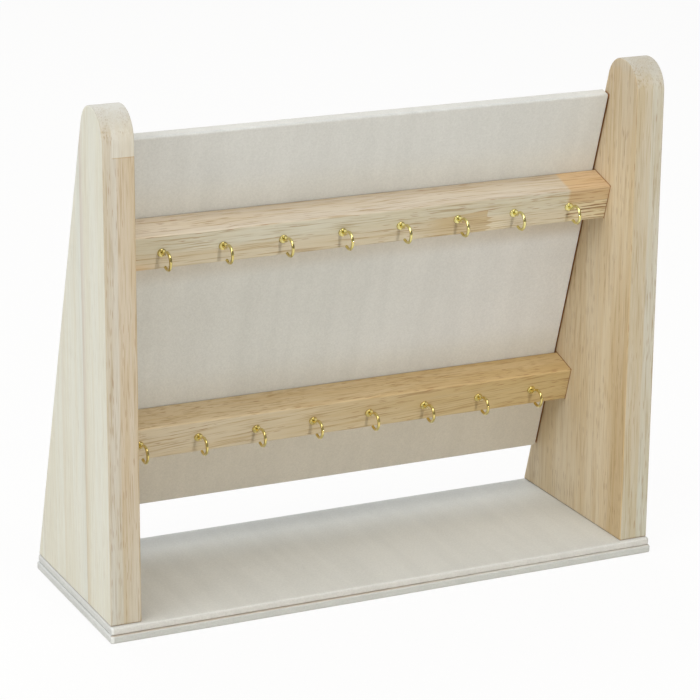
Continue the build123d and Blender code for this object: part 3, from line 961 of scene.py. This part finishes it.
def wrapped_cloth(name, width, length, thick, place, seed):
    """Cloth glued over one face of a board and its edges, and turned in on the other face.

    The grid's two parameters are the cloth's own flat coordinates. Inside the face a point lies where it
    is. Past the face by some arc length, it rides the wrap profile outwards and down. In a corner the
    larger overshoot is the arc length, and the ratio of the two turns the profile through a quarter circle
    in plan, so the cloth meets in a mitre on the turned-in side. A low swell, a sum of sines, keeps the
    face from being dead flat."""
    half_width = width / 2 - CLOTH_CORNER_R
    half_length = length / 2 - CLOTH_CORNER_R
    past = wrap_steps(thick)

    def line(half):
        inner = np.linspace(-half, half, int(half / CLOTH_STEP))
        return np.concatenate([-half - past[::-1], inner, half + past])

    a, b = np.meshgrid(line(half_width), line(half_length), indexing="ij")
    over_a = np.maximum(np.abs(a) - half_width, 0)
    over_b = np.maximum(np.abs(b) - half_length, 0)
    larger = np.maximum(over_a, over_b)
    reach, drop = wrap_profile(larger, thick)
    share_a = over_a / np.maximum(larger, 1e-12)
    share_b = over_b / np.maximum(larger, 1e-12)
    turn = np.where(over_a >= over_b, share_b, 2 - share_a) * np.pi / 4
    inside = np.minimum(reach, 0)
    out = np.maximum(reach, 0) * (larger > 0)
    x = np.sign(a) * (np.minimum(np.abs(a), half_width) * (1 + inside / half_width) + out * np.cos(turn))
    y = np.sign(b) * (np.minimum(np.abs(b), half_length) * (1 + inside / half_length) + out * np.sin(turn))
    phase = np.random.default_rng(seed).uniform(0, 2 * np.pi, 4)
    swell = (
        np.sin(a / (19 * MM) + phase[0]) * np.sin(b / (23 * MM) + phase[1])
        + np.sin(a / (41 * MM) + b / (52 * MM) + phase[2])
        + np.sin(a / (61 * MM) - b / (33 * MM) + phase[3])
    )
    z = -drop - CLOTH_SWELL * (swell + 3) * (drop < CLOTH_EDGE_R)
    points = np.stack([x, y, z], axis=-1).reshape(-1, 3)
    return mesh_grid(name, points, a.shape, place)


def mesh_grid(name, points, shape, place):
    """A mesh of quads over a grid of points in its own frame, put in its place, with doubles merged."""
    rows, columns = shape
    index = np.arange(rows * columns).reshape(rows, columns)
    corners = [index[:-1, :-1], index[1:, :-1], index[1:, 1:], index[:-1, 1:]]
    quads = np.stack(corners, axis=-1).reshape(-1, 4)
    mesh = bpy.data.meshes.new(name)
    mesh.from_pydata(points.tolist(), [], quads.tolist())
    mesh.transform(place)
    shell = bmesh.new()
    shell.from_mesh(mesh)
    bmesh.ops.remove_doubles(shell, verts=shell.verts, dist=MERGE_WITHIN)
    bmesh.ops.dissolve_degenerate(shell, edges=shell.edges, dist=SLIVER)
    shell.to_mesh(mesh)
    shell.free()
    mesh.polygons.foreach_set("use_smooth", np.ones(len(mesh.polygons), bool))
    piece = bpy.data.objects.new(name, mesh)
    bpy.context.scene.collection.objects.link(piece)
    return piece


def thicken(piece):
    """Gives a cloth its thickness, inwards from the face that shows."""
    solid = piece.modifiers.new("thickness", "SOLIDIFY")
    solid.thickness = CLOTH_THICK
    solid.offset = -1
    return piece


def axes_matrix(right, up, out, at):
    """The matrix that puts a piece's own X, Y and Z along these directions, at this point."""
    turned = Matrix((right, up, out)).transposed().to_4x4()
    turned.translation = at
    return turned


# Placing of the covered boards
rightwards = Vector((1, 0, 0))
backwards = Vector((0, 1, 0))
upwards = Vector((0, 0, 1))
panel_middle = SLANT_TOP - SLANT_UP * (PANEL_TOP_DROP + PANEL_LENGTH / 2)
panel_place = axes_matrix(rightwards, SLANT_UP, SLANT_FORWARD, panel_middle + SLANT_FORWARD * PANEL_THICK)
lining_place = axes_matrix(-rightwards, SLANT_UP, -SLANT_FORWARD, panel_middle)
top_place = axes_matrix(rightwards, backwards, upwards, upwards * upper_high.z)
bottom_place = axes_matrix(rightwards, -backwards, -upwards, upwards * lower_low.z)

panel_cloth = velvet("panel_cloth", (-LEAN, 0.0, 0.0), panel_tone)
base_cloth = velvet("base_cloth", (0.0, 0.0, 0.0), base_tone)

upper_size = upper_high - upper_low
lower_size = lower_high - lower_low
covered_boards = {
    "panel": (PANEL_WIDTH, PANEL_LENGTH, PANEL_THICK, panel_place, panel_cloth, "panel_velvet"),
    "base_top": (*upper_size, top_place, base_cloth, "base_velvet"),
    "base_bottom": (*lower_size, bottom_place, base_cloth, "base_velvet"),
}
for seed, (board, (width, length, thick, place, material, slot)) in enumerate(covered_boards.items()):
    piece = thicken(wrapped_cloth(f"{board}_velvet_wrap", width, length, thick, place, seed))
    piece.data.materials.append(material)
    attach(piece, "root")
    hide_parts(f"{board}_velvet")


def panel_lining():
    """Lining let in on the back: a flat grid with a swell, a sum of sines that dies out at its edges."""
    width = PANEL_WIDTH - 2 * (TURN_IN + LINING_GAP)
    length = PANEL_LENGTH - 2 * (TURN_IN + LINING_GAP)
    a, b = np.meshgrid(*(np.linspace(-0.5, 0.5, count) for count in LINING_POINTS), indexing="ij")
    swell = np.sin(19 * a + 1) * np.sin(15 * b + 2) + np.sin(9 * a - 11 * b)
    edge = np.cos(np.pi * a) * np.cos(np.pi * b)
    z = LINING_SWELL * (swell - 2) * edge
    points = np.stack([a * width, b * length, z], axis=-1).reshape(-1, 3)
    piece = thicken(mesh_grid("panel_lining_sheet", points, a.shape, lining_place))
    piece.data.materials.append(panel_cloth)
    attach(piece, "root")
    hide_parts("panel_lining")


panel_lining()

# Finishes of the solid pieces, by the beginning of their names
hook_brass = brass()
fibreboard = speckled("bare_fibreboard", linear(172, 140, 104), linear(150, 118, 84), 900.0)
steel = speckled("zinc_steel", linear(176, 176, 178), linear(150, 150, 154), 1200.0, 1.0, 0.35)
finishes = {
    "side_panel_": side_wood(),
    "upper_rail": upper_rail_wood(),
    "lower_rail": lower_rail_wood(),
    "upper_hook_": hook_brass,
    "lower_hook_": hook_brass,
    "base_bottom_board": fibreboard,
    "base_top_board": fibreboard,
    "panel_board": fibreboard,
    "base_screws": steel,
    "panel_screws": steel,
    "rail_dowels": speckled("bare_dowel", linear(214, 190, 150), linear(198, 170, 126), 500.0),
}
for name, material in finishes.items():
    for node_name, node in nodes.items():
        if node_name.startswith(name):
            node.data.materials.clear()
            node.data.materials.append(material)

# Floor
FLOOR_REACH = 8.0
FLOOR_COLOUR = (0.78, 0.75, 0.69, 1.0)
FLOOR_GLOW = 0.93
floor_sides = ((-1, -1), (1, -1), (1, 1), (-1, 1))
floor_corners = [(side * FLOOR_REACH, end * FLOOR_REACH, 0) for side, end in floor_sides]
floor_mesh = bpy.data.meshes.new("floor")
floor_mesh.from_pydata(floor_corners, [], [(0, 1, 2, 3)])
floor = bpy.data.objects.new("floor", floor_mesh)
bpy.context.scene.collection.objects.link(floor)


def seen_directly(tree):
    """1 on rays from the camera, or mirrored or let through by a piece, else 0."""
    path = tree.nodes.new("ShaderNodeLightPath")
    shown = calc(tree, "MAXIMUM", path.outputs["Is Camera Ray"], path.outputs["Is Glossy Ray"])
    return calc(tree, "MAXIMUM", shown, path.outputs["Is Transmission Ray"])


def floor_finish():
    """White floor: what is seen of it is mostly plain white, with a share of the shaded floor."""
    material, tree, shader = new_material("white_floor")
    set_constants(shader, {"Base Color": FLOOR_COLOUR, "Roughness": 0.9, "Specular IOR Level": 0.0})
    white = put(tree, "Emission", (WHITE, 1.0))
    glow = calc(tree, "MULTIPLY", seen_directly(tree), FLOOR_GLOW)
    both = put(tree, "MixShader", (glow, shader.outputs[0], white))
    tree.links.new(both, tree.nodes["Material Output"].inputs["Surface"])
    return material


floor_mesh.materials.append(floor_finish())

# Light: a white room, faint as a source and mirrored dimmer on the camera's side, and four lamps
AMBIENT = 0.316
DIM_SIDE = 0.22
world = bpy.data.worlds.new("studio")
bpy.context.scene.world = world
world.use_nodes = True
sky = world.node_tree
background = sky.nodes["Background"]
background.inputs["Color"].default_value = WHITE
backward = axes(sky, put(sky, "TexCoord"))[1]
room = fade(sky, backward, -0.35, 0.35, DIM_SIDE, 1.0)
sky_path = sky.nodes.new("ShaderNodeLightPath")
mirrored = put(sky, "Mix", (sky_path.outputs["Is Glossy Ray"], None, AMBIENT, room))
looked_at = calc(sky, "MAXIMUM", sky_path.outputs["Is Camera Ray"], sky_path.outputs["Is Transmission Ray"])
strength = put(sky, "Mix", (looked_at, None, mirrored, 1.0))
sky.links.new(strength, background.inputs["Strength"])

LAMP_AIM = Vector((0.0, 0.0, 0.16))


def lamp_box(name, at, width, height, watts, colour):
    """A rectangular studio lamp that points at the middle of the stand."""
    lamp = bpy.data.lights.new(name, "AREA")
    lamp.shape = "RECTANGLE"
    lamp.size = width
    lamp.size_y = height
    lamp.energy = watts
    lamp.color = colour
    holder = bpy.data.objects.new(name, lamp)
    holder.location = at
    holder.rotation_mode = "QUATERNION"
    holder.rotation_quaternion = (LAMP_AIM - Vector(at)).to_track_quat("-Z", "Y")
    bpy.context.scene.collection.objects.link(holder)


WARM_WHITE = (1.02, 1.0, 0.96)
COOL_WHITE = (0.985, 1.0, 1.01)
SKY_WHITE = (0.985, 1.0, 1.02)
lamp_box("key_light", at=(0.10, -1.84, 0.42), width=0.05, height=0.05, watts=9.6, colour=WARM_WHITE)
lamp_box("left_light", at=(-2.2, -0.7, 1.6), width=1.4, height=1.4, watts=23.5, colour=SKY_WHITE)
lamp_box("top_light", at=(-0.2, -1.0, 2.5), width=1.8, height=1.4, watts=32.0, colour=COOL_WHITE)
lamp_box("back_light", at=(0.0, 1.6, 2.0), width=1.8, height=1.4, watts=20.8, colour=COOL_WHITE)

# Camera
yaw, pitch, roll = np.radians([CAMERA_YAW, CAMERA_PITCH, CAMERA_ROLL])
ahead = Vector((-np.sin(yaw) * np.cos(pitch), np.cos(yaw) * np.cos(pitch), np.sin(pitch)))
level = ahead.cross(upwards).normalized()
upright = level.cross(ahead)
camera_data = bpy.data.cameras.new("camera")
camera_data.sensor_width = SENSOR_MM
camera_data.lens = SENSOR_MM * FOCAL_PX / IMAGE_PX
camera = bpy.data.objects.new("camera", camera_data)
camera.matrix_world = axes_matrix(
    level * np.cos(roll) + upright * np.sin(roll),
    upright * np.cos(roll) - level * np.sin(roll),
    -ahead,
    Vector(CAMERA_AT),
)
bpy.context.scene.collection.objects.link(camera)
bpy.context.scene.camera = camera
bpy.context.scene.view_settings.view_transform = "Standard"
